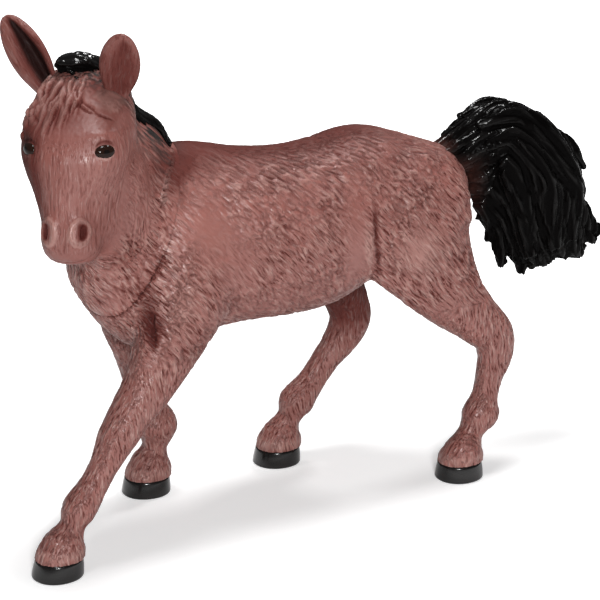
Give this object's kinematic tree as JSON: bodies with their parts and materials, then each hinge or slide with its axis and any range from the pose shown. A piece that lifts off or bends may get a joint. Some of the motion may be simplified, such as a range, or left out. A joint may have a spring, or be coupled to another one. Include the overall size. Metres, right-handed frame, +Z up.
{
  "type": "toy foal figure",
  "caption": "Hollow soft-vinyl toy foal, walking, with black mane, tail and hooves; its head turns in a collar at the base of the neck.",
  "frame": {"origin": "middle of the figure's plan, on the ground under its hooves", "axes": "+Z up; the figure faces -X, with its tail at +X; its own left side is towards -Y"},
  "size_m": [0.1854, 0.0492, 0.1393],
  "materials": {
    "brown_vinyl": "semi-matt reddish brown paint over fine moulded hair, with a darker wash in the grooves",
    "black_hair": "semi-gloss black paint over moulded locks",
    "black_hoof": "semi-gloss black paint",
    "eye_gloss": "gloss dark brown paint"
  },
  "bodies": {
    "torso": {"torso_shell": "brown_vinyl", "front_left_leg": "brown_vinyl", "front_left_hoof": "black_hoof", "front_right_leg": "brown_vinyl", "front_right_hoof": "black_hoof", "hind_left_leg": "brown_vinyl", "hind_left_hoof": "black_hoof", "hind_right_leg": "brown_vinyl", "hind_right_hoof": "black_hoof", "tail": "black_hair"},
    "head": {"head_and_neck": "brown_vinyl", "left_ear": "brown_vinyl", "right_ear": "brown_vinyl", "mane": "black_hair", "left_eye": "eye_gloss", "right_eye": "eye_gloss"}
  },
  "joints": [
    {"name": "neck_turn", "type": "hinge", "parent": "torso", "child": "head", "pos_m": [-0.05503, -0.00085, 0.083], "axis": [-0.8282, -0.2532, 0.5], "range_deg": [-20, 20]}
  ]
}
